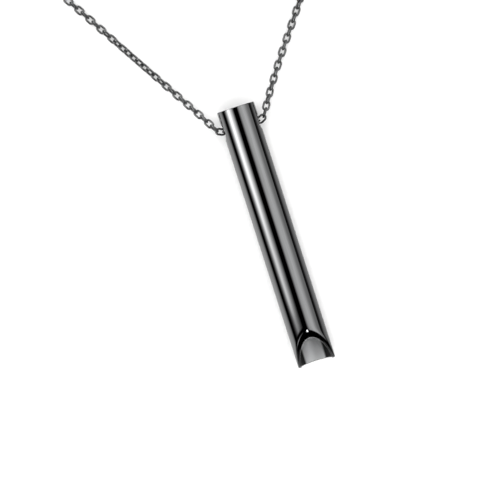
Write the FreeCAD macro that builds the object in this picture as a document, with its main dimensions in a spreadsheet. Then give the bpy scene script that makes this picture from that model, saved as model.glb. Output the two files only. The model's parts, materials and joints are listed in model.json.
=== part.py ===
import FreeCAD, Part
import math
import os
import Sketcher
from FreeCAD import Placement, Rotation, Vector

# A tubular whistle pendant on a cable-chain necklace, lying on a flat surface.
# Row frame in millimetres: +Y along the tube towards its chain end, +Z up, the surface at z = 0,
# and the origin under the middle of the tube. The scooped mouth is at -Y and opens upwards.

doc = FreeCAD.newDocument("whistle_pendant")
os.makedirs("parts", exist_ok=True)

# ---------------------------------------------------------------- driving dimensions
DIMENSIONS = (
    ("tube_diameter", 7.2),
    ("bore_diameter", 6.0),
    ("tube_length", 50.0),
    ("end_chamfer", 0.12),
    ("hole_diameter", 2.8),
    ("hole_from_end", 3.9),
    ("scoop_length", 6.2),
    ("scoop_end_height", 0.45),
    ("chain_width", 1.5),
    ("link_wire", 0.4),
    ("link_length", 2.15),
    ("coil_middle_radius", 8.5),
    ("coil_band", 5.2),
    ("coil_height", 3.1),
    ("coil_corner", 0.7),
    ("ring_wire", 0.6),
    ("end_ring_radius", 1.9),
    ("jump_ring_radius", 1.3),
    ("clasp_thickness", 2.0),
    ("eye_thickness", 0.7),
    ("eye_hole_radius", 1.15),
    ("eye_rim_radius", 1.65),
    ("rivet_radius", 0.35),
    ("rivet_clearance", 0.03),
    ("lever_thickness", 0.8),
    ("slot_height", 0.94),
    ("spring_width", 0.6),
)
sheet = doc.addObject("Spreadsheet::Sheet", "dimensions")
for row, (alias, value) in enumerate(DIMENSIONS, start=1):
    sheet.set(f"A{row}", alias)
    sheet.set(f"B{row}", str(value))
    sheet.setAlias(f"B{row}", alias)
doc.recompute()


def size(alias):
    """The sheet's value of one driving dimension."""
    return float(sheet.get(alias))


def bound(alias):
    """An expression that follows one cell of the sheet."""
    return f"<<dimensions>>.{alias}"


TUBE_RADIUS = size("tube_diameter") / 2
HOLE_Y = size("tube_length") / 2 - size("hole_from_end")
CHAIN_RADIUS = size("chain_width") / 2
parts = []


def keep(obj, node):
    """Names a finished sub-part and puts it on the list of parts to write."""
    obj.Label = node
    parts.append(obj)
    return obj


# ---------------------------------------------------------------- sketch helpers
def new_body(node):
    """An empty body for one sub-part."""
    body = doc.addObject("PartDesign::Body", node)
    return keep(body, node)


def plane_of(body, role):
    """One of the body's own origin planes."""
    return next(f for f in body.Origin.OriginFeatures if f.Role == role)


def new_sketch(body, name, role, offset=0.0):
    """A sketch on an origin plane of its body, moved along that plane's normal."""
    sketch = body.newObject("Sketcher::SketchObject", name)
    sketch.AttachmentSupport = (plane_of(body, role), [""])
    sketch.MapMode = "FlatFace"
    sketch.AttachmentOffset = Placement(Vector(0, 0, offset), Rotation())
    return sketch


def add_circle(sketch, x, y, radius, expression=None):
    """A circle with a driving radius, which follows the sheet where an expression is given."""
    index = sketch.addGeometry(Part.Circle(Vector(x, y, 0), Vector(0, 0, 1), radius), False)
    constraint = sketch.addConstraint(Sketcher.Constraint("Radius", index, radius))
    if expression:
        sketch.setExpression(f"Constraints[{constraint}]", expression)
    return index


def add_outline(sketch, points):
    """A closed outline of straight sides, with its corners joined."""
    count = len(points)
    first = sketch.GeometryCount
    for i in range(count):
        start = Vector(points[i][0], points[i][1], 0)
        end = Vector(points[(i + 1) % count][0], points[(i + 1) % count][1], 0)
        sketch.addGeometry(Part.LineSegment(start, end), False)
    for i in range(count):
        sketch.addConstraint(Sketcher.Constraint("Coincident", first + i, 2, first + (i + 1) % count, 1))


def add_pad(body, sketch, name, length, midplane=True, expression=None):
    """A pad of the sketch, centred on its plane unless told otherwise."""
    pad = body.newObject("PartDesign::Pad", name)
    pad.Profile = sketch
    pad.Length = length
    pad.Midplane = midplane
    if expression:
        pad.setExpression("Length", expression)
    body.Tip = pad
    doc.recompute()
    return pad


def add_pocket(body, sketch, name, length, expression=None):
    """A pocket centred on the sketch's plane, which has to take material away."""
    before = body.Shape.Volume
    pocket = body.newObject("PartDesign::Pocket", name)
    pocket.Profile = sketch
    pocket.Length = length
    pocket.Midplane = True
    if expression:
        pocket.setExpression("Length", expression)
    body.Tip = pocket
    doc.recompute()
    if body.Shape.Volume > before - 1e-6:
        raise RuntimeError(f"{name} cut nothing")
    return pocket


# ---------------------------------------------------------------- the whistle tube
def make_tube():
    """A thin tube along Y, with eased rims, a cross hole for the chain and a slanted scoop."""
    body = new_body("whistle_tube")
    ring = new_sketch(body, "tube_section", "XZ_Plane")
    add_circle(ring, 0, 0, TUBE_RADIUS, bound("tube_diameter") + " / 2")
    add_circle(ring, 0, 0, size("bore_diameter") / 2, bound("bore_diameter") + " / 2")
    wall = add_pad(body, ring, "tube_wall", size("tube_length"), True, bound("tube_length"))

    rims = []
    for number, edge in enumerate(wall.Shape.Edges, start=1):
        if isinstance(edge.Curve, Part.Circle):
            rims.append(f"Edge{number}")
    chamfer = body.newObject("PartDesign::Chamfer", "rim_chamfer")
    chamfer.Base = (wall, rims)
    chamfer.Size = size("end_chamfer")
    chamfer.setExpression("Size", bound("end_chamfer"))
    body.Tip = chamfer
    doc.recompute()

    hole = new_sketch(body, "chain_hole_section", "YZ_Plane")
    add_circle(hole, HOLE_Y, 0, size("hole_diameter") / 2, bound("hole_diameter") + " / 2")
    through = 2 * size("tube_diameter")
    add_pocket(body, hole, "chain_hole", through, "2 * " + bound("tube_diameter"))

    mouth_y = -size("tube_length") / 2
    slope = (TUBE_RADIUS - size("scoop_end_height")) / size("scoop_length")
    over = 1.0
    scoop = new_sketch(body, "scoop_section", "YZ_Plane")
    add_outline(
        scoop,
        (
            (mouth_y - over, size("scoop_end_height") - slope * over),
            (mouth_y + size("scoop_length") + over, TUBE_RADIUS + slope * over),
            (mouth_y - over, TUBE_RADIUS + slope * over),
        ),
    )
    add_pocket(body, scoop, "scoop", through, "2 * " + bound("tube_diameter"))

    body.Placement = Placement(Vector(0, 0, TUBE_RADIUS), Rotation())
    body.setExpression("Placement.Base.z", bound("tube_diameter") + " / 2")
    doc.recompute()
    return body


make_tube()

# ---------------------------------------------------------------- the neck chain
# Each loose stretch is a round tube over a route of points. The chain crosses the tube inside its
# cross hole, turns up beside the rim of the hole, and comes down to the surface on both sides.
# Past the two straight runs it is wound into a coil on each side, and its two ends face each other.
LEFT_ROUTE = (
    (0.0, 21.2, 3.15),
    (-2.4, 21.2, 3.15),
    (-4.4, 21.45, 3.15),
    (-5.5, 23.5, 2.8),
    (-7.5, 26.9, 1.7),
    (-10.6, 32.0, 0.95),
    (-15.6, 40.2, 0.8),
    (-22.9, 52.4, 0.78),
    (-29.3, 62.6, 0.78),
)
RIGHT_ROUTE = (
    (0.0, 21.2, 3.15),
    (2.4, 21.2, 3.15),
    (4.4, 21.45, 3.15),
    (5.6, 23.6, 2.8),
    (7.7, 26.8, 1.7),
    (10.9, 31.4, 0.95),
    (15.5, 37.5, 0.8),
    (20.6, 44.3, 0.78),
    (24.8, 49.8, 0.78),
)
LEFT_COIL_CENTRE = Vector(-20.4, 67.9, 0)
RIGHT_COIL_CENTRE = Vector(16.4, 55.8, 0)

# The chain's ends lie on one line that joins the far sides of the two coils.
LINE_ANGLE = 162.2
TURN_STEEPNESS = 0.45


def along_line(start, along, height):
    """A point on the line of the chain's ends, measured from a start towards the left coil."""
    angle = math.radians(LINE_ANGLE)
    return Vector(start.x + along * math.cos(angle), start.y + along * math.sin(angle), height)


LEFT_TAIL = (
    (-17.2, 77.7, 2.3),
    (-15.0, 77.05, 2.15),
    (-12.7, 76.3, 1.35),
    (-10.6, 75.6, 0.85),
    (-8.7, 75.0, 0.78),
)
RIGHT_TAIL = (
    (19.6, 65.6, 2.3),
    (17.5, 66.3, 2.15),
    (15.4, 67.0, 1.5),
    (13.3, 67.7, 1.2),
    (11.4, 68.3, 1.15),
)


def arc_radius(before, corner, after):
    """The arc's radius at one corner: 0.45 of the shorter run, over the tangent of half the turn."""
    turn = (corner - before).getAngle(after - corner)
    shorter = min((corner - before).Length, (after - corner).Length)
    return TURN_STEEPNESS * shorter / math.tan(turn / 2)


def route_wire(name, points):
    """Straight runs joined by tangent arcs through the corners of a route."""
    corners = [Vector(*p) for p in points]
    edges = []
    radii = []
    start = corners[0]
    for before, corner, after in zip(corners, corners[1:], corners[2:]):
        incoming = (corner - before).normalize()
        outgoing = (after - corner).normalize()
        turn = incoming.getAngle(outgoing)
        radius = arc_radius(before, corner, after)
        radii.append(round(radius, 1))
        reach = radius * math.tan(turn / 2)
        enter = corner - incoming * reach
        leave = corner + outgoing * reach
        to_centre = (outgoing - incoming).normalize()
        middle = corner + to_centre * (radius / math.cos(turn / 2) - radius)
        edges.append(Part.LineSegment(start, enter).toShape())
        edges.append(Part.Arc(enter, middle, leave).toShape())
        start = leave
    edges.append(Part.LineSegment(start, corners[-1]).toShape())
    print(f"{name} arc radii: {radii}")
    return Part.Wire(edges)


def round_sweep(path, radius):
    """A closed solid with a round section of one radius along a path."""
    start = path.Edges[0].valueAt(path.Edges[0].FirstParameter)
    heading = path.Edges[0].tangentAt(path.Edges[0].FirstParameter)
    section = Part.Wire(Part.makeCircle(radius, start, heading))
    return path.makePipeShell([section], True, True)


def make_chain(node, points):
    """A loose stretch of the chain as a round tube of the chain's width."""
    path = route_wire(node, points)
    tube = round_sweep(path, CHAIN_RADIUS)
    expected = math.pi * CHAIN_RADIUS**2 * path.Length
    print(f"{node}: length {path.Length:.2f}, volume {tube.Volume:.2f} of {expected:.2f}")
    if abs(tube.Volume / expected - 1) > 0.01:
        raise RuntimeError(f"{node} doesn't fill its route")
    stretch = doc.addObject("Part::Feature", node)
    stretch.Shape = tube
    return keep(stretch, node)


def make_coil(node, centre):
    """The outer shape of a neat flat coil: a low ring with rounded corners."""
    body = new_body(node)
    section = new_sketch(body, node + "_section", "XZ_Plane")
    inner = size("coil_middle_radius") - size("coil_band") / 2
    outer = size("coil_middle_radius") + size("coil_band") / 2
    top = size("coil_height")
    corner = size("coil_corner")
    add_outline(
        section,
        (
            (inner + corner, 0),
            (outer - corner, 0),
            (outer, corner),
            (outer, top - corner),
            (outer - corner, top),
            (inner + corner, top),
            (inner, top - corner),
            (inner, corner),
        ),
    )
    ring = body.newObject("PartDesign::Revolution", node + "_ring")
    ring.Profile = section
    ring.ReferenceAxis = (section, ["V_Axis"])
    ring.Angle = 360
    body.Tip = ring
    body.Placement = Placement(centre, Rotation())
    return body


make_chain("chain_left", LEFT_ROUTE)
make_chain("chain_right", RIGHT_ROUTE)
make_coil("chain_left_coil", LEFT_COIL_CENTRE)
make_coil("chain_right_coil", RIGHT_COIL_CENTRE)
make_chain("chain_left_tail", LEFT_TAIL)
make_chain("chain_right_tail", RIGHT_TAIL)


# ---------------------------------------------------------------- end links and rings
def frame_along(heading_angle, tilt, place):
    """A frame with X along a heading on the surface, turned by a tilt about that heading."""
    heading = Rotation(Vector(0, 0, 1), heading_angle)
    return Placement(place, heading.multiply(Rotation(Vector(1, 0, 0), tilt)))


def make_link(node, frame):
    """One oval wire link in the XY plane of its frame, with its long way along X."""
    wire_radius = size("link_wire") / 2
    bend = size("chain_width") / 2 - wire_radius
    straight = size("link_length") / 2 - wire_radius - bend
    path = Part.Wire(
        [
            Part.LineSegment(Vector(-straight, -bend, 0), Vector(straight, -bend, 0)).toShape(),
            Part.Arc(
                Vector(straight, -bend, 0), Vector(straight + bend, 0, 0), Vector(straight, bend, 0)
            ).toShape(),
            Part.LineSegment(Vector(straight, bend, 0), Vector(-straight, bend, 0)).toShape(),
            Part.Arc(
                Vector(-straight, bend, 0), Vector(-straight - bend, 0, 0), Vector(-straight, -bend, 0)
            ).toShape(),
        ]
    )
    link = doc.addObject("Part::Feature", node)
    link.Shape = round_sweep(path, wire_radius)
    link.Placement = frame
    return keep(link, node)


def make_ring(node, radius_alias, frame):
    """A round wire ring in the XY plane of its frame."""
    ring = doc.addObject("Part::Torus", node)
    ring.setExpression("Radius1", bound(radius_alias))
    ring.setExpression("Radius2", bound("ring_wire") + " / 2")
    ring.Placement = frame
    return keep(ring, node)


LINK_HALF = size("link_length") / 2 - size("link_wire") / 2
WIRE_GAP = 0.05
HOOKED = size("ring_wire") / 2 + size("link_wire") / 2 + WIRE_GAP

# The left end: an upright link holds the end ring, which leans down to the surface.
LEFT_END = Vector(*LEFT_TAIL[-1])
LEFT_HEADING = LINE_ANGLE - 180
left_link_centre = along_line(LEFT_END, -LINK_HALF, LEFT_END.z)
make_link("chain_left_end_link", frame_along(LEFT_HEADING, 90, left_link_centre))
ring_reach = size("end_ring_radius")
ring_lean = math.degrees(math.asin((LEFT_END.z - size("ring_wire") / 2) / (2 * ring_reach)))
ring_hold = along_line(LEFT_END, -2 * LINK_HALF + HOOKED, LEFT_END.z)
ring_centre = along_line(ring_hold, -ring_reach * math.cos(math.radians(ring_lean)), 0)
ring_centre.z = LEFT_END.z - ring_reach * math.sin(math.radians(ring_lean))
lean = Rotation(Vector(0, 0, 1), LEFT_HEADING).multiply(Rotation(Vector(0, 1, 0), ring_lean))
make_ring("end_ring", "end_ring_radius", Placement(ring_centre, lean))

# The right end: the last link and the jump ring lean over, and the ring passes through the eye.
RING_TILT = 40
RIGHT_END = Vector(*RIGHT_TAIL[-1])
right_link_centre = along_line(RIGHT_END, LINK_HALF, RIGHT_END.z)
make_link("chain_right_end_link", frame_along(LINE_ANGLE, 90 - RING_TILT, right_link_centre))
jump_hold = along_line(RIGHT_END, 2 * LINK_HALF - HOOKED, RIGHT_END.z)
jump_centre = along_line(jump_hold, size("jump_ring_radius"), RIGHT_END.z)
make_ring("jump_ring", "jump_ring_radius", frame_along(LINE_ANGLE, -RING_TILT, jump_centre))

# ---------------------------------------------------------------- the clasp
# Its own frame has X from the eye towards the nose, and its middle plane half its thickness up.
PIVOT = (3.6, -1.2)
eye_height = size("clasp_thickness") / 2
eye_side = (jump_centre.z - eye_height) / math.tan(math.radians(RING_TILT))
eye_centre = along_line(jump_centre, size("jump_ring_radius"), eye_height)
eye_centre += Rotation(Vector(0, 0, 1), LINE_ANGLE).multVec(Vector(0, eye_side, 0))
CLASP_FRAME = frame_along(LINE_ANGLE, 0, eye_centre)


def add_ellipse(sketch, x, y, half_length, half_width):
    """A full ellipse with its long way along X."""
    sketch.addGeometry(Part.Ellipse(Vector(x, y, 0), half_length, half_width), False)


def make_clasp_body():
    """A flat hook with an eye at its tail, a gap for the lever and a slot for the lever's root."""
    body = new_body("clasp_body")
    hook = new_sketch(body, "hook_outline", "XY_Plane")
    add_ellipse(hook, 5.6, 0, 4.1, 2.6)
    add_pad(body, hook, "hook", size("clasp_thickness"), True, bound("clasp_thickness"))
    neck = new_sketch(body, "neck_outline", "XY_Plane")
    add_outline(neck, ((0, -1.0), (2.6, -1.0), (2.6, 1.0), (0, 1.0)))
    add_pad(body, neck, "neck", size("eye_thickness"), True, bound("eye_thickness"))
    rim = new_sketch(body, "eye_outline", "XY_Plane")
    add_circle(rim, 0, 0, size("eye_rim_radius"), bound("eye_rim_radius"))
    add_pad(body, rim, "eye_rim", size("eye_thickness"), True, bound("eye_thickness"))
    thick = 2 * size("clasp_thickness")
    opening = new_sketch(body, "opening_outline", "XY_Plane")
    add_ellipse(opening, 6.3, 0.25, 2.3, 1.35)
    add_pocket(body, opening, "opening", thick)
    gap = new_sketch(body, "gap_outline", "XY_Plane")
    add_outline(gap, ((4.9, -0.3), (8.4, -0.3), (8.6, -2.9), (4.9, -2.9)))
    add_pocket(body, gap, "lever_gap", thick)
    eye = new_sketch(body, "eye_hole_outline", "XY_Plane")
    add_circle(eye, 0, 0, size("eye_hole_radius"), bound("eye_hole_radius"))
    add_pocket(body, eye, "eye_hole", thick)
    slot = new_sketch(body, "slot_outline", "XY_Plane")
    add_outline(slot, ((2.6, -3.0), (5.3, -3.0), (5.3, 0.3), (2.6, 0.3)))
    add_pocket(body, slot, "lever_slot", size("slot_height"), bound("slot_height"))
    rivet_hole = new_sketch(body, "rivet_hole_outline", "XY_Plane")
    add_circle(rivet_hole, PIVOT[0], PIVOT[1], size("rivet_radius"), bound("rivet_radius"))
    add_pocket(body, rivet_hole, "rivet_hole", thick)
    body.Placement = CLASP_FRAME
    return body


def make_clasp_lever():
    """The sprung gate: a root round the rivet, an arm across the gap and a tab for the thumb."""
    body = new_body("clasp_lever")
    outline = new_sketch(body, "lever_outline", "XY_Plane")
    add_outline(
        outline,
        (
            (2.9, -0.9),
            (3.6, -0.5),
            (5.2, -0.85),
            (8.1, -1.35),
            (8.2, -2.0),
            (6.6, -2.2),
            (4.6, -2.15),
            (4.0, -3.4),
            (3.2, -3.4),
            (2.9, -2.0),
        ),
    )
    add_pad(body, outline, "lever_plate", size("lever_thickness"), True, bound("lever_thickness"))
    bore = new_sketch(body, "lever_bore_outline", "XY_Plane")
    radius = size("rivet_radius") + size("rivet_clearance")
    add_circle(bore, PIVOT[0], PIVOT[1], radius, bound("rivet_radius") + " + " + bound("rivet_clearance"))
    add_pocket(body, bore, "lever_bore", 2 * size("lever_thickness"))
    body.Placement = CLASP_FRAME
    return body


def make_clasp_rivet():
    """The plain rivet that the lever turns on, flush with both cheeks."""
    rivet = doc.addObject("Part::Cylinder", "clasp_rivet")
    rivet.setExpression("Radius", bound("rivet_radius"))
    rivet.setExpression("Height", bound("clasp_thickness"))
    foot = CLASP_FRAME.multVec(Vector(PIVOT[0], PIVOT[1], -size("clasp_thickness") / 2))
    rivet.Placement = Placement(foot, Rotation())
    return keep(rivet, "clasp_rivet")


def make_clasp_spring():
    """A bowed leaf between the slot's back wall and the lever."""
    body = new_body("clasp_spring")
    strip = new_sketch(body, "strip_outline", "XY_Plane")
    add_outline(
        strip,
        (
            (2.8, -0.3),
            (3.9, 0.1),
            (4.9, -0.35),
            (4.95, -0.22),
            (3.9, 0.25),
            (2.75, -0.17),
        ),
    )
    add_pad(body, strip, "strip", size("spring_width"), True, bound("spring_width"))
    body.Placement = CLASP_FRAME
    return body


make_clasp_body()
make_clasp_lever()
make_clasp_rivet()
make_clasp_spring()

# ---------------------------------------------------------------- checks and files
doc.recompute()
for obj in doc.Objects:
    if "Invalid" in obj.State or "Error" in obj.State:
        raise RuntimeError(f"{obj.Name} failed: {obj.State}")
for obj in parts:
    if obj.Shape.isNull() or not obj.Shape.isValid():
        raise RuntimeError(f"{obj.Label} has no valid shape")
    if len(obj.Shape.Solids) != 1:
        raise RuntimeError(f"{obj.Label} has {len(obj.Shape.Solids)} solids")
for obj in parts:
    obj.Shape.exportStep(f"parts/{obj.Label}.step")
    box = obj.Shape.BoundBox
    print(
        f"{obj.Label}: x {box.XMin:.2f} to {box.XMax:.2f}, y {box.YMin:.2f} to {box.YMax:.2f},"
        f" z {box.ZMin:.2f} to {box.ZMax:.2f}, volume {obj.Shape.Volume:.2f}"
    )
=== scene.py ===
"""A polished tubular whistle pendant on a fine cable chain, laid flat on a pale surface."""

import json
import math

import bmesh
import bpy
from mathutils import Matrix, Vector


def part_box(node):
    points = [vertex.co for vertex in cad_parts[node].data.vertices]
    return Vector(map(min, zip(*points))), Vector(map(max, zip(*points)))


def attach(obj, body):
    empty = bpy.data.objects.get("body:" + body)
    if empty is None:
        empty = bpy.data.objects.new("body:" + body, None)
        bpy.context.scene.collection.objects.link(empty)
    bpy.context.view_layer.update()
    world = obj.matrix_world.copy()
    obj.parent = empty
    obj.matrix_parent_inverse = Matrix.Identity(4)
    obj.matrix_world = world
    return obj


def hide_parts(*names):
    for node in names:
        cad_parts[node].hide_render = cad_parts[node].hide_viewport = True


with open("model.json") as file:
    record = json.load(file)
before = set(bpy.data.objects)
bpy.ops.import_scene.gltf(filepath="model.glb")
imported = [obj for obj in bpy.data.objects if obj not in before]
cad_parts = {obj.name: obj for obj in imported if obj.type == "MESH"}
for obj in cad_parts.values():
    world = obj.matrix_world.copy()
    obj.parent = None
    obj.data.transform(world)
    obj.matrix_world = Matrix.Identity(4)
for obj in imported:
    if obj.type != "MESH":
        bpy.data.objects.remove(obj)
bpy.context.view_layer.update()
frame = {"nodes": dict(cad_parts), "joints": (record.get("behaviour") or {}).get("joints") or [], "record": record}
RECORD = frame["record"]
JOINTS = {joint["name"]: joint for joint in frame["joints"]}
MOUNTS = {mount["name"]: mount for mount in RECORD["mounts"]}
MM = 0.001
MICRON = 0.001 * MM
UP = Vector((0, 0, 1))

# ---------------------------------------------------------------- sizes
TUBE_LOW, TUBE_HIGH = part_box("whistle_tube")
TUBE_RADIUS = (TUBE_HIGH.x - TUBE_LOW.x) / 2
TUBE_LENGTH = TUBE_HIGH.y - TUBE_LOW.y
AXIS_HEIGHT = TUBE_LOW.z + TUBE_RADIUS
BORE_RADIUS = MOUNTS["air_bore"]["dims"]["r_mm"] * MM
WALL_MIDDLE = (TUBE_RADIUS + BORE_RADIUS) / 2
HOLE_ALONG = JOINTS["tube_swing"]["pos_m"][1] - TUBE_LOW.y
HOLE_RADIUS = 1.4 * MM
HOLE_EASE = 0.16 * MM
RIM_EASE = 0.12 * MM

# The scoop is a slanted flat cut, softened where it meets the outside.
SCOOP_END = 0.45 * MM
SCOOP_LENGTH = 6.2 * MM
SCOOP_SLOPE = (TUBE_RADIUS - SCOOP_END) / SCOOP_LENGTH
SCOOP_SCALE = 1 / math.hypot(1, SCOOP_SLOPE)
LIP_SOFTNESS = 0.6 * MM
EDGE_SOFTNESS = 0.14 * MM

CHAIN_WIDTH = 1.5 * MM
LINK_WIRE = 0.2 * MM
LINK_LENGTH = 2.15 * MM
LINK_PITCH = 1.345 * MM
LINK_REACH = LINK_LENGTH / 2 - LINK_WIRE
RING_WIRE = 0.3 * MM
RING_SPLIT = 0.05 * MM


# ---------------------------------------------------------------- helpers
def lerp(a, b, t):
    return a + (b - a) * t


def smoothstep(low, high, value):
    t = min(max((value - low) / (high - low), 0), 1)
    return t * t * (3 - 2 * t)


def add_object(name, data):
    """Links a new object, standing at the origin, to the scene."""
    obj = bpy.data.objects.new(name, data)
    bpy.context.scene.collection.objects.link(obj)
    return obj


def add_piece(name, mesh, body, slot, *nodes):
    """A visible piece of the object that stands for CAD nodes and moves with their body."""
    piece = add_object(name, mesh)
    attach(piece, body)
    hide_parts(*nodes)
    return piece


def make_mesh(name, verts, faces, *materials):
    """A smooth-shaded mesh whose faces all point outward."""
    mesh = bpy.data.meshes.new(name)
    mesh.from_pydata(verts, [], faces)
    grid = bmesh.new()
    grid.from_mesh(mesh)
    bmesh.ops.recalc_face_normals(grid, faces=grid.faces)
    grid.to_mesh(mesh)
    grid.free()
    mesh.shade_smooth()
    for material in materials:
        mesh.materials.append(material)
    return mesh


# ---------------------------------------------------------------- materials
class Shader:
    """A node material that is wired up step by step around one Principled shader."""

    def __init__(self, name, colour, metallic, roughness):
        self.material = bpy.data.materials.new(name)
        self.material.use_nodes = True
        self.tree = self.material.node_tree
        self.surface = self.tree.nodes["Principled BSDF"]
        self.surface.inputs["Base Color"].default_value = (*colour, 1)
        self.surface.inputs["Metallic"].default_value = metallic
        self.surface.inputs["Roughness"].default_value = roughness
        self.place = self.add("ShaderNodeTexCoord").outputs["Object"]

    def add(self, kind, **settings):
        node = self.tree.nodes.new(kind)
        for key, value in settings.items():
            setattr(node, key, value)
        return node

    def noise(self, scale, detail=3.0, roughness=0.55, stretch=(1, 1, 1)):
        """Noise in object space, scale cells per metre, thinned out along each axis by stretch."""
        mapping = self.add("ShaderNodeMapping")
        mapping.inputs["Scale"].default_value = stretch
        self.tree.links.new(self.place, mapping.inputs["Vector"])
        noise = self.add("ShaderNodeTexNoise")
        noise.inputs["Scale"].default_value = scale
        noise.inputs["Detail"].default_value = detail
        noise.inputs["Roughness"].default_value = roughness
        self.tree.links.new(mapping.outputs["Vector"], noise.inputs["Vector"])
        return noise.outputs["Fac"]

    def spread(self, value, low, high, start=0.3, end=0.7):
        """Maps a noise value onto a range of sizes."""
        node = self.add("ShaderNodeMapRange")
        node.inputs["From Min"].default_value = start
        node.inputs["From Max"].default_value = end
        node.inputs["To Min"].default_value = low
        node.inputs["To Max"].default_value = high
        self.tree.links.new(value, node.inputs["Value"])
        return node.outputs["Result"]

    def tint(self, value, dark, light):
        """Colours the surface between two shades by a value from 0 to 1."""
        mix = self.add("ShaderNodeMix", data_type="RGBA")
        mix.inputs["A"].default_value = (*dark, 1)
        mix.inputs["B"].default_value = (*light, 1)
        self.tree.links.new(value, mix.inputs["Factor"])
        self.tree.links.new(mix.outputs["Result"], self.surface.inputs["Base Color"])

    def bump(self, value, distance, strength):
        node = self.add("ShaderNodeBump")
        node.inputs["Distance"].default_value = distance
        node.inputs["Strength"].default_value = strength
        self.tree.links.new(value, node.inputs["Height"])
        self.tree.links.new(node.outputs["Normal"], self.surface.inputs["Normal"])


def grey(value, warmth=0.0):
    return (value * (1 + warmth), value, value * (1 - warmth))


LENGTHWISE = (1, 0.06, 1)
EVENLY = (1, 1, 1)
MARK_STRENGTH = 0.25


def metal(name, dark, light, roughness, grain, streak, depth):
    """Plated metal: slight shade changes, faint polishing marks and handling smudges."""
    shader = Shader(name, grey((dark + light) / 2), 1.0, sum(roughness) / 2)
    marks = shader.noise(grain, 4.0, 0.6, streak)
    shader.tint(shader.spread(marks, 0, 1), grey(dark, -0.01), grey(light, -0.01))
    smudges = shader.noise(grain / 6, 3.0, 0.6)
    shader.tree.links.new(shader.spread(smudges, *roughness), shader.surface.inputs["Roughness"])
    shader.bump(marks, depth, MARK_STRENGTH)
    return shader.material


# The bore's floor is painted light, as if lit, and its walls painted shade. The painted light ends between these
# angles from its lowest line, in degrees, and it fades into painted shade between these depths, in scoop lengths.
BORE_PAINTED_LIGHT_ANGLES = (36, 44)
BORE_PAINTED_LIGHT_FADE = (1.2, 2.6)


def bore_metal(name):
    """The bore's brushed finish, with painted light on its floor at the scoop and painted shade on its walls and
    deeper in.
    """
    shader = Shader(name, grey(0.5), 0.87, 0.5)
    parts = shader.add("ShaderNodeSeparateXYZ")
    shader.tree.links.new(shader.place, parts.inputs["Vector"])
    heights = [AXIS_HEIGHT - BORE_RADIUS * math.cos(math.radians(angle)) for angle in BORE_PAINTED_LIGHT_ANGLES]
    wall = shader.spread(parts.outputs["Z"], 0, 1, *heights)
    depths = [TUBE_LOW.y + SCOOP_LENGTH * share for share in BORE_PAINTED_LIGHT_FADE]
    inside = shader.spread(parts.outputs["Y"], 0, 1, *depths)
    # Painted shade: dark where the wall turns up beside the floor or the bore goes deeper, light on the floor as
    # if lit.
    painted_shade = shader.add("ShaderNodeMath", operation="MAXIMUM")
    shader.tree.links.new(wall, painted_shade.inputs[0])
    shader.tree.links.new(inside, painted_shade.inputs[1])
    # The light grey is painted light on the bore's floor, and the near black is painted shade.
    shader.tint(painted_shade.outputs["Value"], grey(0.86, -0.01), grey(0.03))
    grain = shader.noise(2500, 4.0, 0.6, LENGTHWISE)
    shader.tree.links.new(shader.spread(grain, 0.5, 0.6), shader.surface.inputs["Roughness"])
    shader.bump(grain, 2 * MICRON, MARK_STRENGTH)
    return shader.material


TUBE_METAL = metal("tube_gunmetal", 0.30, 0.35, (0.03, 0.08), 1500, LENGTHWISE, 0.6 * MICRON)
BORE_PAINTED_LIGHT_METAL = bore_metal("bore_metal")
CHAIN_METAL = metal("chain_gunmetal", 0.17, 0.30, (0.06, 0.14), 1800, EVENLY, 2 * MICRON)
FITTING_METAL = metal("fitting_gunmetal", 0.22, 0.31, (0.10, 0.20), 1600, EVENLY, 2 * MICRON)
SPRING_METAL = metal("spring_steel", 0.48, 0.60, (0.22, 0.34), 4000, (0.1, 1, 1), 2 * MICRON)


# ---------------------------------------------------------------- whistle tube
COLUMNS = 192
PATCH_CELLS = 36
RUN_CELLS = 44
TAIL_CELLS = 6
EASE_CELLS = 5
PATCH_RINGS = 8
INNER_STEPS = (1.6, 0.8, 0.4, 0.2, 0.1, 0.04)
FACE_STEPS = (0, 0.06, 0.15, 0.3, 0.45, 0.6, 0.72, 0.82, 0.9, 0.96)
OUTER_STEPS = (0, 0.05, 0.12, 0.2, 0.3, 0.42, 0.56, 0.72, 0.9, 1.15, 1.5)
HUB_REACH = 1.9 * MM
LIP_HALVINGS = 30
COLUMN_STEP = math.tau / COLUMNS
PATCH_HALF = PATCH_CELLS // 2 * COLUMN_STEP * TUBE_RADIUS
PATCH_START = HOLE_ALONG - PATCH_HALF
PATCH_END = HOLE_ALONG + PATCH_HALF


def smooth_max(a, b, width):
    overlap = max(width - abs(a - b), 0)
    return max(a, b) + overlap * overlap / (4 * width)


def outside_lip(angle, along, radius):
    """How far a point of a lengthwise section is outside the wall at the scoop. Inside is negative."""
    cut = (radius * math.cos(angle) - SCOOP_END - SCOOP_SLOPE * along) * SCOOP_SCALE
    outside = smooth_max(radius - TUBE_RADIUS, cut, LIP_SOFTNESS)
    outside = smooth_max(outside, -along, EDGE_SOFTNESS)
    return smooth_max(outside, BORE_RADIUS - radius, EDGE_SOFTNESS)


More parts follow.
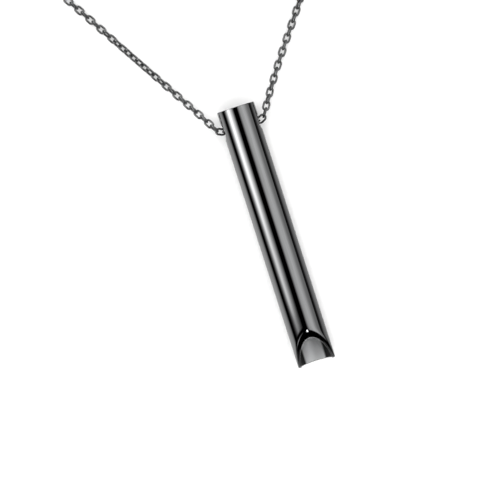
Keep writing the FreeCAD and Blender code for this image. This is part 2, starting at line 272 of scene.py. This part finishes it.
def lip_section(angle):
    """The wall's rounded end in one lengthwise section, from the bore round to the outside."""
    inner = max(0, (BORE_RADIUS * math.cos(angle) - SCOOP_END) / SCOOP_SLOPE)
    outer = max(0, (TUBE_RADIUS * math.cos(angle) - SCOOP_END) / SCOOP_SLOPE)
    hub = Vector((outer + HUB_REACH, WALL_MIDDLE))
    aims = [Vector((inner + step * MM, BORE_RADIUS)) for step in INNER_STEPS]
    aims += [Vector((lerp(inner, outer, t), lerp(BORE_RADIUS, TUBE_RADIUS, t))) for t in FACE_STEPS]
    aims += [Vector((outer + step * MM, TUBE_RADIUS)) for step in OUTER_STEPS]
    section = []
    for aim in aims:
        low, high = 0.0, 1.0
        for _ in range(LIP_HALVINGS):
            middle = (low + high) / 2
            along, radius = hub.lerp(aim, middle)
            if outside_lip(angle, along, radius) < 0:
                low = middle
            else:
                high = middle
        section.append(hub.lerp(aim, low))
    return section


def steps(start, end, count):
    """Evenly spaced values after start, up to and including end."""
    return [lerp(start, end, i / count) for i in range(1, count + 1)]


def column(angle):
    """One closed lengthwise section of the tube's wall: (distance from the scoop end, radius)."""
    section = [tuple(point) for point in lip_section(angle)]
    ease_start = TUBE_LENGTH - RIM_EASE
    outside = steps(section[-1][0], PATCH_START, RUN_CELLS)
    outside += steps(PATCH_START, PATCH_END, PATCH_CELLS)
    outside += steps(PATCH_END, ease_start, TAIL_CELLS)
    inside = steps(ease_start, PATCH_END, TAIL_CELLS)
    inside += steps(PATCH_END, PATCH_START, PATCH_CELLS)
    inside += steps(PATCH_START, section[0][0], RUN_CELLS)[:-1]
    turns = [i / EASE_CELLS * math.pi / 2 for i in range(EASE_CELLS + 1)]
    edge = [
        (ease_start + RIM_EASE * math.sin(turn), TUBE_RADIUS - RIM_EASE + RIM_EASE * math.cos(turn))
        for turn in turns[1:]
    ]
    edge += [
        (ease_start + RIM_EASE * math.cos(turn), BORE_RADIUS + RIM_EASE - RIM_EASE * math.sin(turn))
        for turn in turns
    ]
    return section + [(a, TUBE_RADIUS) for a in outside] + edge + [(a, BORE_RADIUS) for a in inside]


LIP_COUNT = len(INNER_STEPS) + len(FACE_STEPS) + len(OUTER_STEPS)
OUTER_PATCH = LIP_COUNT - 1 + RUN_CELLS
EDGE_COUNT = 2 * EASE_CELLS + 1
BORE_START = OUTER_PATCH + PATCH_CELLS + TAIL_CELLS + EDGE_COUNT - 1
BORE_LIP_CELLS = len(INNER_STEPS) - 2
INNER_PATCH = OUTER_PATCH + PATCH_CELLS + TAIL_CELLS + EDGE_COUNT + TAIL_CELLS
HOLE_COLUMNS = (COLUMNS // 4, 3 * COLUMNS // 4)
HOLE_CENTRE = Vector((0, TUBE_LOW.y + HOLE_ALONG, AXIS_HEIGHT))


def patch_border(centre):
    """The grid places round one cross hole, as (column, cell along), in order."""
    low, high = centre - PATCH_CELLS // 2, centre + PATCH_CELLS // 2
    last = PATCH_CELLS
    border = [(low + i, 0) for i in range(last)]
    border += [(high, i) for i in range(last)]
    border += [(high - i, last) for i in range(last)]
    border += [(low, last - i) for i in range(last)]
    return border


def in_patch(i, j):
    """Whether a cell of the wall's grid is left open for a cross hole."""
    over = any(-PATCH_CELLS // 2 <= i - middle < PATCH_CELLS // 2 for middle in HOLE_COLUMNS)
    outer = OUTER_PATCH <= j < OUTER_PATCH + PATCH_CELLS
    inner = INNER_PATCH <= j < INNER_PATCH + PATCH_CELLS
    return over and (outer or inner)


class Wall:
    """The tube's wall as it is built: a closed grid of columns, and which of its faces are the bore's."""

    def __init__(self):
        self.verts, self.faces, self.bore_faces = [], [], []
        for i in range(COLUMNS):
            angle = i * COLUMN_STEP
            for along, radius in column(angle):
                x, z = radius * math.sin(angle), AXIS_HEIGHT + radius * math.cos(angle)
                self.verts.append((x, TUBE_LOW.y + along, z))
        self.count = len(self.verts) // COLUMNS
        for i in range(COLUMNS):
            for j in range(self.count):
                if not in_patch(i, j):
                    corners = (self.at(i, j), self.at(i + 1, j), self.at(i + 1, j + 1), self.at(i, j + 1))
                    self.add_face(corners, j >= BORE_START or j < BORE_LIP_CELLS)

    def at(self, i, j):
        return (i % COLUMNS) * self.count + j % self.count

    def add_face(self, corners, in_bore):
        if in_bore:
            self.bore_faces.append(len(self.faces))
        self.faces.append(corners)

    def bridge(self, first, second, in_bore):
        """Joins two loops of vertices with a band of faces."""
        for k in range(len(first)):
            following = (k + 1) % len(first)
            self.add_face((first[k], first[following], second[following], second[k]), in_bore)

    def add_loop(self, middle, radius, hole, blend, depth):
        """Vertices round a cross hole, part of the way from its patch's border to a circle."""
        centre = middle * COLUMN_STEP
        outward = Vector((math.sin(centre), 0, math.cos(centre)))
        around = Vector((math.cos(centre), 0, -math.sin(centre)))
        start = len(self.verts)
        for i, cell in patch_border(middle):
            turn = (i - middle) * COLUMN_STEP
            offset = PATCH_START + cell * 2 * PATCH_HALF / PATCH_CELLS - HOLE_ALONG
            bearing = math.atan2(offset, TUBE_RADIUS * turn)
            turn = lerp(turn, math.asin(hole * math.cos(bearing) / radius), blend)
            offset = lerp(offset, hole * math.sin(bearing), blend)
            place = HOLE_CENTRE + outward * (radius * math.cos(turn) + depth)
            self.verts.append(tuple(place + around * radius * math.sin(turn) + Vector((0, offset, 0))))
        return list(range(start, len(self.verts)))

    def add_skin(self, middle, in_bore):
        """Fills one skin of the wall in to a cross hole's eased edge, and gives the edge's last loop."""
        if in_bore:
            radius, sense = BORE_RADIUS, -1
            loop = [self.at(i, INNER_PATCH + PATCH_CELLS - cell) for i, cell in patch_border(middle)]
        else:
            radius, sense = TUBE_RADIUS, 1
            loop = [self.at(i, OUTER_PATCH + cell) for i, cell in patch_border(middle)]
        for blend in steps(0, 1, PATCH_RINGS):
            following = self.add_loop(middle, radius, HOLE_RADIUS + HOLE_EASE, blend, 0)
            self.bridge(loop, following, in_bore)
            loop = following
        for turn in steps(0, math.pi / 2, EASE_CELLS):
            hole = HOLE_RADIUS + HOLE_EASE * (1 - math.sin(turn))
            depth = -sense * HOLE_EASE * (1 - math.cos(turn))
            following = self.add_loop(middle, radius, hole, 1, depth)
            self.bridge(loop, following, in_bore)
            loop = following
        return loop


def make_tube():
    """The tube's wall, with a softly lipped scoop and an eased cross hole right through."""
    wall = Wall()
    for middle in HOLE_COLUMNS:
        outer_edge = wall.add_skin(middle, False)
        inner_edge = wall.add_skin(middle, True)
        wall.bridge(outer_edge, inner_edge, False)
    mesh = make_mesh("whistle_tube_wall", wall.verts, wall.faces, TUBE_METAL, BORE_PAINTED_LIGHT_METAL)
    for index in wall.bore_faces:
        mesh.polygons[index].material_index = 1
    return add_piece("tube_wall", mesh, "whistle", "tube_gunmetal", "whistle_tube")


# ---------------------------------------------------------------- chain routes
LEFT_ROUTE = (
    (0.0, 0.0212, 0.00315),
    (-0.0024, 0.0212, 0.00315),
    (-0.0044, 0.02145, 0.00315),
    (-0.0055, 0.0235, 0.0028),
    (-0.0075, 0.0269, 0.0017),
    (-0.0106, 0.032, 0.00095),
    (-0.0156, 0.0402, 0.0008),
    (-0.0229, 0.0524, 0.00078),
    (-0.0293, 0.0626, 0.00078),
)
RIGHT_ROUTE = (
    (0.0, 0.0212, 0.00315),
    (0.0024, 0.0212, 0.00315),
    (0.0044, 0.02145, 0.00315),
    (0.0056, 0.0236, 0.0028),
    (0.0077, 0.0268, 0.0017),
    (0.0109, 0.0314, 0.00095),
    (0.0155, 0.0375, 0.0008),
    (0.0206, 0.0443, 0.00078),
    (0.0248, 0.0498, 0.00078),
)
LEFT_TAIL = (
    (-0.0172, 0.0777, 0.0023),
    (-0.015, 0.07705, 0.00215),
    (-0.0127, 0.0763, 0.00135),
    (-0.0106, 0.0756, 0.00085),
    (-0.0087, 0.075, 0.00078),
)
RIGHT_TAIL = (
    (0.0196, 0.0656, 0.0023),
    (0.0175, 0.0663, 0.00215),
    (0.0154, 0.067, 0.0015),
    (0.0133, 0.0677, 0.0012),
    (0.0114, 0.0683, 0.00115),
)
COIL_POINTS_PER_TURN = 18
COIL_PITCH = 1.58 * MM
COIL_LAYERS = (0.78 * MM, 2.29 * MM)
COIL_RISE_TURNS = 0.3
LEFT_TURNS, RIGHT_TURNS = -4.4, 4.3


def coil_points(route, tail, node, turns):
    """A flat coil in two layers: inward on the surface, up, and outward again on top of itself.
    Positive turns wind anticlockwise as seen from above."""
    low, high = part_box(node)
    centre = (low + high) / 2
    start = Vector(route[-1]) - centre
    radius = math.hypot(start.x, start.y)
    bearing = math.atan2(start.y, start.x)
    finish = Vector(tail[0]) - centre
    closing = math.atan2(finish.y, finish.x) - bearing
    sweep = closing + math.tau * round((turns * math.tau - closing) / math.tau)
    count = round(abs(sweep) / math.tau * COIL_POINTS_PER_TURN)
    total = abs(sweep) / math.tau
    points = []
    for i in range(1, count):
        done = total * i / count
        inset = COIL_PITCH * min(done, total - done)
        rise = smoothstep((total - COIL_RISE_TURNS) / 2, (total + COIL_RISE_TURNS) / 2, done)
        angle = bearing + sweep * i / count
        x = centre.x + (radius - inset) * math.cos(angle)
        y = centre.y + (radius - inset) * math.sin(angle)
        points.append((x, y, lerp(*COIL_LAYERS, rise)))
    return points


def make_line(name, points):
    """The cord's own smooth line: a spline whose control points are the route's points."""
    curve = bpy.data.curves.new(name, "CURVE")
    curve.dimensions = "3D"
    curve.resolution_u = 12
    spline = curve.splines.new("NURBS")
    spline.points.add(len(points) - 1)
    for target, point in zip(spline.points, points):
        target.co = (*point, 1)
    spline.order_u = 3
    spline.use_endpoint_u = True
    return curve


def read_line(curve):
    """Points along a curve that has no bevel, in order."""
    probe = add_object("line_probe", curve)
    bpy.context.view_layer.update()
    evaluated = probe.evaluated_get(bpy.context.evaluated_depsgraph_get())
    mesh = bpy.data.meshes.new_from_object(evaluated)
    points = [vertex.co.copy() for vertex in mesh.vertices]
    bpy.data.objects.remove(probe)
    return points


class Line:
    """A measured line, with its places by distance from its start."""

    def __init__(self, points):
        self.points = points
        self.marks = [0.0]
        for a, b in zip(points, points[1:]):
            self.marks.append(self.marks[-1] + (b - a).length)
        self.length = self.marks[-1]
        self.cursor = 0

    def place(self, distance):
        while self.cursor > 0 and self.marks[self.cursor] > distance:
            self.cursor -= 1
        while self.cursor < len(self.points) - 2 and self.marks[self.cursor + 1] < distance:
            self.cursor += 1
        start, end = self.points[self.cursor], self.points[self.cursor + 1]
        span = self.marks[self.cursor + 1] - self.marks[self.cursor]
        return start + (end - start) * ((distance - self.marks[self.cursor]) / span)


# ---------------------------------------------------------------- links and rings
BEND_CELLS = 9
WIRE_CELLS = 12
LINK_BEND = CHAIN_WIDTH / 2 - LINK_WIRE
LINK_STRAIGHT = LINK_REACH - LINK_BEND
SETTLE_START = 60 * MM


def wire_loop(middle, outside, normal, wire, sides):
    """Vertices round a wire at one place of its middle line."""
    angles = [math.tau * k / sides for k in range(sides)]
    return [middle + (outside * math.cos(angle) + normal * math.sin(angle)) * wire for angle in angles]


def wire_faces(start, loops, sides, closed):
    """The faces along a wire, whose loops of vertices follow one another from start."""
    faces = []
    for i in range(loops if closed else loops - 1):
        a, b = start + i * sides, start + (i + 1) % loops * sides
        for k in range(sides):
            n = (k + 1) % sides
            faces.append((a + k, b + k, b + n, a + n))
    return faces


def link_outline():
    """The wire's middle line round one oval link: (along, across, direction of its outside)."""
    outline = []
    for end, first in ((1, -math.pi / 2), (-1, math.pi / 2)):
        for i in range(BEND_CELLS + 1):
            turn = first + math.pi * i / BEND_CELLS
            along = end * LINK_STRAIGHT + LINK_BEND * math.cos(turn)
            outline.append((along, LINK_BEND * math.sin(turn), turn))
    return outline


LINK_OUTLINE = link_outline()


def add_link(verts, faces, centre, heading, lean):
    """Adds one wire link. A lean of 0 lies flat, and it turns about the heading."""
    left = UP.cross(heading).normalized()
    above = heading.cross(left)
    across = left * math.cos(lean) + above * math.sin(lean)
    normal = heading.cross(across)
    start = len(verts)
    for x, y, turn in LINK_OUTLINE:
        middle = centre + heading * x + across * y
        outside = heading * math.cos(turn) + across * math.sin(turn)
        verts += wire_loop(middle, outside, normal, LINK_WIRE, WIRE_CELLS)
    faces += wire_faces(start, len(LINK_OUTLINE), WIRE_CELLS, True)


def make_chain(side, points, first, shown_lean, end_lean):
    """The interlocked links of one side of the necklace, and the end link that its fitting hooks into."""
    line = Line(read_line(make_line(f"chain_{side}_line", points)))
    before_end = line.length + LINK_REACH - LINK_PITCH
    count = math.ceil(before_end / LINK_PITCH)
    pitch = before_end / count
    final_turn = end_lean - math.pi / 2 * (1 + count % 2)
    verts, faces = [], []
    for k in range(first, count + 1):
        distance = k * pitch
        half = pitch / 2
        heading = line.place(min(distance + half, line.length)) - line.place(max(distance - half, 0))
        settle = smoothstep(SETTLE_START, line.length, distance)
        lean = math.pi / 2 * (1 + k % 2) + lerp(shown_lean(distance), final_turn, settle)
        add_link(verts, faces, line.place(distance), heading.normalized(), lean)
    mesh = make_mesh(f"chain_{side}_links", verts, faces, CHAIN_METAL)
    chain = add_piece(
        f"chain_links_{side}",
        mesh,
        "necklace",
        "chain_gunmetal",
        f"chain_{side}",
        f"chain_{side}_coil",
        f"chain_{side}_tail",
    )
    heading = (line.points[-1] - line.points[-2]).normalized()
    heading.z = 0
    heading.normalize()
    end_verts, end_faces = [], []
    add_link(end_verts, end_faces, line.points[-1] + heading * LINK_REACH, heading, end_lean)
    end_mesh = make_mesh(f"chain_{side}_last", end_verts, end_faces, CHAIN_METAL)
    end_link = add_piece(
        f"end_link_{side}", end_mesh, "necklace", "chain_gunmetal", f"chain_{side}_end_link"
    )
    return chain, end_link, line


RING_CELLS = 72
RING_SIDES = 2 * WIRE_CELLS
RING_SPLIT_TURN = math.radians(125)


def make_ring(name, node, joint, body):
    """A wire ring with a hairline split on the side away from the link that holds it."""
    low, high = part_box(node)
    centre = (low + high) / 2
    reach = Vector(JOINTS[joint]["pos_m"]) - centre
    radius = reach.length
    towards = reach.normalized()
    normal = Vector(JOINTS[joint]["axis"]).cross(towards).normalized()
    beside = normal.cross(towards)
    opening = RING_SPLIT / radius
    verts = []
    for i in range(RING_CELLS + 1):
        turn = RING_SPLIT_TURN + opening / 2 + (math.tau - opening) * i / RING_CELLS
        outside = towards * math.cos(turn) + beside * math.sin(turn)
        verts += wire_loop(centre + outside * radius, outside, normal, RING_WIRE, RING_SIDES)
    faces = wire_faces(0, RING_CELLS + 1, RING_SIDES, False)
    faces.append(tuple(range(RING_SIDES)))
    faces.append(tuple(RING_CELLS * RING_SIDES + k for k in range(RING_SIDES)))
    mesh = make_mesh(f"{name}_wire", verts, faces, FITTING_METAL)
    return add_piece(name, mesh, body, "fitting_gunmetal", node)


# ---------------------------------------------------------------- clasp
CORNER_JOIN = 2 * MICRON
FLAT_ANGLE = math.radians(2)
SHARP_ANGLE = math.radians(35)


def finish_cad_node(name, material, bevel):
    """A clasp piece that keeps its CAD shape gets softened edges and its own metal."""
    node = frame["nodes"][name]
    node.data.materials.clear()
    node.data.materials.append(material)
    join = node.modifiers.new("joined_corners", "WELD")
    join.merge_threshold = CORNER_JOIN
    flatten = node.modifiers.new("flat_faces", "DECIMATE")
    flatten.decimate_type = "DISSOLVE"
    flatten.angle_limit = FLAT_ANGLE
    soften = node.modifiers.new("soft_edges", "BEVEL")
    soften.width = bevel
    soften.segments = 3
    soften.use_clamp_overlap = False
    soften.limit_method = "ANGLE"
    soften.angle_limit = SHARP_ANGLE
    node.modifiers.new("even_shading", "WEIGHTED_NORMAL")
    return node


# ---------------------------------------------------------------- the object
# How far the links roll about the chain, in degrees, and the distances along it where the roll changes, in
# metres.
LEFT_ROLLS = (19, 45, 14)
LEFT_ROLL_OVER = (0.014, 0.025)
LEFT_ROLL_BACK = (0.026, 0.036)
RIGHT_ROLL, RIGHT_SWAY, RIGHT_SWAY_RATE = 17, 6, 260
RIGHT_ROLL_START = (0.003, 0.009)
LEFT_END_LEAN, RIGHT_END_LEAN = math.radians(90), math.radians(50)


def left_lean(distance):
    """The left side's links lie nearly flat beside the tube, roll half over and settle back."""
    beside_tube, rolled, settled = LEFT_ROLLS
    roll = lerp(beside_tube, rolled, smoothstep(*LEFT_ROLL_OVER, distance))
    return math.radians(lerp(roll, settled, smoothstep(*LEFT_ROLL_BACK, distance)))


def right_lean(distance):
    """The right side's links stay tipped a little to one side as far as they are seen."""
    roll = RIGHT_ROLL + RIGHT_SWAY * math.sin(distance * RIGHT_SWAY_RATE)
    return math.radians(roll) * smoothstep(*RIGHT_ROLL_START, distance)


make_tube()
left_coil = coil_points(LEFT_ROUTE, LEFT_TAIL, "chain_left_coil", LEFT_TURNS)
right_coil = coil_points(RIGHT_ROUTE, RIGHT_TAIL, "chain_right_coil", RIGHT_TURNS)
left_points = [*LEFT_ROUTE, *left_coil, *LEFT_TAIL]
right_points = [*RIGHT_ROUTE, *right_coil, *RIGHT_TAIL]
left_chain, left_end_link, left_line = make_chain("left", left_points, 0, left_lean, LEFT_END_LEAN)
right_chain, right_end_link, right_line = make_chain("right", right_points, 1, right_lean, RIGHT_END_LEAN)
end_ring = make_ring("clasp_ring", "end_ring", "end_ring_swing", "end_ring")
jump_ring = make_ring("split_jump_ring", "jump_ring", "jump_ring_swing", "jump_ring")
clasp_body = finish_cad_node("clasp_body", FITTING_METAL, 0.18 * MM)
clasp_lever = finish_cad_node("clasp_lever", FITTING_METAL, 0.1 * MM)
clasp_rivet = finish_cad_node("clasp_rivet", SPRING_METAL, 0.05 * MM)
clasp_spring = finish_cad_node("clasp_spring", SPRING_METAL, 0.02 * MM)

# ---------------------------------------------------------------- floor
FLOOR_HALF = 1.6
FLOOR_DROP = 0.02 * MM
MIRRORED_DROP = 0.06 * MM
MIRRORED_HALF = 0.15
MIRRORED_STOPS = (
    (0.0, 0.0), (0.24, 0.12), (0.39, 0.45), (0.44, 0.85), (0.49, 1.0), (0.52, 0.58), (0.545, 0.4),
    (0.6, 0.03),
)
EVEN_STOPS = ((0.0, 1.0), (1.0, 1.0))


def ramp_node(tree, socket, stops):
    """A grey value that follows a few stops, given as (place from 0 to 1, value)."""
    node = tree.nodes.new("ShaderNodeValToRGB")
    elements = node.color_ramp.elements
    while len(elements) < len(stops):
        elements.new(0.5)
    for element, (place, value) in zip(elements, stops):
        element.position = place
        element.color = (value, value, value, 1)
    tree.links.new(socket, node.inputs["Fac"])
    return node.outputs["Color"]


def glow_material(name, strength, across, along):
    """A glowing face whose brightness changes across it and along it."""
    material = bpy.data.materials.new(name)
    material.use_nodes = True
    tree = material.node_tree
    tree.nodes.clear()
    output = tree.nodes.new("ShaderNodeOutputMaterial")
    emission = tree.nodes.new("ShaderNodeEmission")
    uv = tree.nodes.new("ShaderNodeUVMap")
    parts = tree.nodes.new("ShaderNodeSeparateXYZ")
    product = tree.nodes.new("ShaderNodeMath")
    product.operation = "MULTIPLY"
    scaled = tree.nodes.new("ShaderNodeMath")
    scaled.operation = "MULTIPLY"
    scaled.inputs[1].default_value = strength
    tree.links.new(uv.outputs["UV"], parts.inputs["Vector"])
    tree.links.new(ramp_node(tree, parts.outputs["X"], across), product.inputs[0])
    tree.links.new(ramp_node(tree, parts.outputs["Y"], along), product.inputs[1])
    tree.links.new(product.outputs["Value"], scaled.inputs[0])
    tree.links.new(scaled.outputs["Value"], emission.inputs["Strength"])
    tree.links.new(emission.outputs["Emission"], output.inputs["Surface"])
    return material


def stage_sheet(name, centre, across, along, material):
    """A flat rectangle of the studio, given by its middle and its two half sides."""
    mesh = bpy.data.meshes.new(f"{name}_sheet")
    near, far = centre - along, centre + along
    mesh.from_pydata([near - across, near + across, far + across, far - across], [], [(0, 1, 2, 3)])
    layer = mesh.uv_layers.new(name="UVMap")
    for loop, uv in zip(layer.data, ((0, 0), (1, 0), (1, 1), (0, 1))):
        loop.uv = uv
    mesh.materials.append(material)
    sheet = add_object(name, mesh)
    return sheet


def glow_sheet(name, centre, across, along, strength, across_stops=EVEN_STOPS, along_stops=EVEN_STOPS):
    """A glowing sheet that the camera does not see."""
    material = glow_material(f"{name}_face", strength, across_stops, along_stops)
    sheet = stage_sheet(name, centre, across, along, material)
    sheet.visible_camera = False
    return sheet


def make_floor():
    """A pale floor, and just below it the darker table top that polished metal mirrors."""
    shader = Shader("pale_floor", grey(0.86), 0.0, 0.75)
    mottle = shader.noise(9, 4.0, 0.5)
    shader.tint(shader.spread(mottle, 0, 1), grey(0.855, 0.002), grey(0.875, 0.002))
    shader.bump(shader.noise(2600, 2.0, 0.5), 10 * MICRON, 0.1)
    across, along = Vector((FLOOR_HALF, 0, 0)), Vector((0, FLOOR_HALF, 0))
    floor = stage_sheet("floor", Vector((0, 0, -FLOOR_DROP)), across, along, shader.material)
    floor.visible_glossy = False
    centre = Vector((0, 0, -MIRRORED_DROP))
    across, along = Vector((MIRRORED_HALF, 0, 0)), Vector((0, 2 * MIRRORED_HALF, 0))
    table = glow_sheet("table_reflection", centre, across, along, 0.8, MIRRORED_STOPS)
    table.visible_diffuse = False
    table.visible_shadow = False


make_floor()

# ---------------------------------------------------------------- light
PANEL_DISTANCE = 0.45
PANEL_HALF_LENGTH = 0.5


def make_panel(name, inner, outer, strength, across_stops, along_stops):
    """A long softbox beside the tube, between two angles from straight up. Positive is to the right."""
    middle = math.radians((inner + outer) / 2)
    half = PANEL_DISTANCE * math.tan(math.radians(abs(outer - inner) / 2))
    sense = 1 if outer > inner else -1
    centre = Vector((math.sin(middle), 0, math.cos(middle))) * PANEL_DISTANCE + Vector((0, 0, AXIS_HEIGHT))
    across = Vector((math.cos(middle), 0, -math.sin(middle))) * half * sense
    along = Vector((0, PANEL_HALF_LENGTH, 0))
    panel = glow_sheet(name, centre, across, along, strength, across_stops, along_stops)
    panel.visible_diffuse = False


# The boxes' brightness across draws the tube's stripes. Along them, the low end draws the line round the
# scoop's arch.
LEFT_ACROSS = (
    (0.02, 0.0), (0.15, 0.17), (0.34, 0.52), (0.5, 1.0), (0.58, 1.0), (0.73, 0.42), (0.86, 0.12), (1.0, 0.0),
)
LEFT_ALONG = (
    (0.24, 0.0), (0.255, 0.2), (0.28, 0.2), (0.295, 0.0), (0.4, 0.0), (0.436, 0.2), (0.444, 0.44),
    (0.46, 0.53), (0.477, 0.61), (0.5, 0.9), (0.52, 1.0),
)
RIGHT_ACROSS = (
    (0.0, 0.0), (0.1, 0.4), (0.18, 0.77), (0.39, 1.0), (0.52, 0.91), (0.65, 0.51), (0.74, 0.36),
    (0.84, 0.34), (0.94, 0.27), (0.955, 0.0),
)
RIGHT_ALONG = ((0.24, 0.0), (0.27, 0.9), (0.6, 1.0))
make_panel("softbox_left", -16, -78, 3.5, LEFT_ACROSS, LEFT_ALONG)
make_panel("softbox_right", 6, 88, 1.16, RIGHT_ACROSS, RIGHT_ALONG)

# A low card beyond the scoop draws the thin light rim along the top of its lip.
LOW_CARD_CENTRE = Vector((0, -0.45, 0.1))
LOW_CARD_HALVES = Vector((0.2, 0, 0)), Vector((0, 0, 0.07))
glow_sheet("low_card", LOW_CARD_CENTRE, *LOW_CARD_HALVES, 1.2)

# A small card high up beyond the scoop puts the glint at the top of its arch.
GLINT_CENTRE = Vector((0.01, -0.227, 0.445))
GLINT_HALVES = Vector((0.022, 0, 0)), Vector((0, 0.034, 0.017))
glow_sheet("glint_card", GLINT_CENTRE, *GLINT_HALVES, 5.0)

# Broad soft cards all round light the sides and the back, and hardly show in the tube from straight above.
SIDE_FADE = ((0.0, 0.2), (0.3, 1.0), (0.7, 1.0), (1.0, 0.2))
HEIGHT_FADE = ((0.0, 0.0), (0.25, 0.8), (0.6, 1.0), (1.0, 0.1))


def make_round_card(name, centre, across, half_height, strength):
    """A broad upright card with soft edges, which lights metal only."""
    up = Vector((0, 0, half_height))
    card = glow_sheet(name, Vector(centre), Vector(across), up, strength, SIDE_FADE, HEIGHT_FADE)
    card.visible_diffuse = False


make_round_card("back_card", (0, 0.6, 0.24), (0.6, 0, 0), 0.21, 0.9)
for side, sense in (("left", -1), ("right", 1)):
    make_round_card(f"front_card_{side}", (sense * 0.55, -0.42, 0.22), (0.17, sense * 0.17, 0), 0.19, 0.8)
for side, sense in (("left", -1), ("right", 1)):
    make_round_card(f"inner_card_{side}", (sense * 0.27, -0.62, 0.27), (0.11, sense * 0.05, 0), 0.19, 0.35)

# The fill light brightens the floor round the object. Polished metal does not mirror it.
FILL_HEIGHT = 0.9
FILL_SIZE = 1.4
FILL_POWER = 20
fill_light = bpy.data.lights.new("floor_fill", "AREA")
fill_light.shape = "SQUARE"
fill_light.size = FILL_SIZE
fill_light.energy = FILL_POWER
fill = add_object("floor_fill", fill_light)
fill.location = (0, 0, FILL_HEIGHT)
fill.visible_camera = False
fill.visible_glossy = False

# The world is seen by the camera and lights the floor, and polished metal does not mirror it.
world = bpy.data.worlds.new("studio")
bpy.context.scene.world = world
world.use_nodes = True
backdrop = world.node_tree.nodes["Background"]
backdrop.inputs["Color"].default_value = (*grey(0.9), 1)
paths = world.node_tree.nodes.new("ShaderNodeLightPath")
shown = world.node_tree.nodes.new("ShaderNodeMath")
world.node_tree.links.new(paths.outputs["Is Camera Ray"], shown.inputs[0])
world.node_tree.links.new(paths.outputs["Is Diffuse Ray"], shown.inputs[1])
world.node_tree.links.new(shown.outputs["Value"], backdrop.inputs["Strength"])

# ---------------------------------------------------------------- camera
LENS = 135
SENSOR = 36
VIEW_WIDTH = 89.4 * MM
VIEW_CENTRE = Vector((-6.7 * MM, 1.25 * MM, AXIS_HEIGHT))
# The picture's upright leans towards +X, so that the tube slants down to the right.
VIEW_UP = Vector((0.3054, 0.9522, 0))
VIEW_LEAN = math.radians(3)
view_distance = VIEW_WIDTH * LENS / SENSOR
back = Vector((0, math.sin(VIEW_LEAN), math.cos(VIEW_LEAN)))
right = VIEW_UP.cross(back).normalized()
turn = Matrix((right, back.cross(right), back)).transposed()
camera_data = bpy.data.cameras.new("camera")
camera_data.lens = LENS
camera_data.sensor_width = SENSOR
camera_data.clip_start = 0.01
camera_data.clip_end = 20
camera = add_object("camera", camera_data)
camera.matrix_world = Matrix.Translation(VIEW_CENTRE + back * view_distance) @ turn.to_4x4()
bpy.context.scene.camera = camera
bpy.context.scene.view_settings.view_transform = "Standard"
